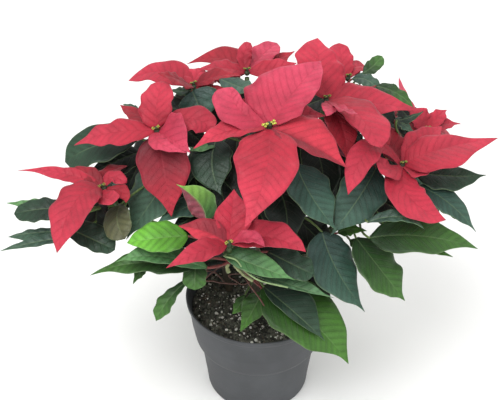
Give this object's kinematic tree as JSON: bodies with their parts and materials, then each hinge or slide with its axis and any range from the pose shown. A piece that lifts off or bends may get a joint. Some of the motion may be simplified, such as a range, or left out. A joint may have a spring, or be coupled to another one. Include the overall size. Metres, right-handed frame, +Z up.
{
  "type": "potted poinsettia",
  "caption": "Bushy poinsettia with red bracts and dark green leaves, growing in a round stepped plastic nursery pot filled with soil.",
  "frame": {"origin": "centre of the pot's foot, on the surface that the pot stands on", "axes": "+Z up along the pot's axis, -Y the front that the picture shows, +X to the viewer's right"},
  "size_m": [0.4948, 0.3786, 0.4061],
  "materials": {
    "bract": "matt, softly veined",
    "leaf": "satin, softly veined",
    "cyathium": "matt",
    "pot": "matt",
    "soil": "rough, with white grains"
  },
  "bodies": {
    "root": {"pot": "pot", "soil": "soil", "plant_a": "leaf", "plant_b": "leaf", "plant_c": "leaf", "plant_d": "leaf", "bracts_01": "bract", "bracts_02": "bract", "bracts_03": "bract", "bracts_04": "bract", "bracts_05": "bract", "bracts_06": "bract", "bracts_07": "bract", "bracts_08": "bract", "bracts_09": "bract", "bracts_10": "bract", "bracts_11": "bract", "bracts_12": "bract", "bracts_13": "bract", "bracts_14": "bract", "bracts_15": "bract", "cyathia_01": "cyathium", "cyathia_02": "cyathium", "cyathia_03": "cyathium", "cyathia_04": "cyathium", "cyathia_05": "cyathium", "cyathia_06": "cyathium", "cyathia_07": "cyathium", "cyathia_08": "cyathium", "cyathia_09": "cyathium", "cyathia_10": "cyathium", "cyathia_11": "cyathium", "cyathia_12": "cyathium", "cyathia_13": "cyathium", "cyathia_14": "cyathium", "cyathia_15": "cyathium"}
  },
  "joints": []
}
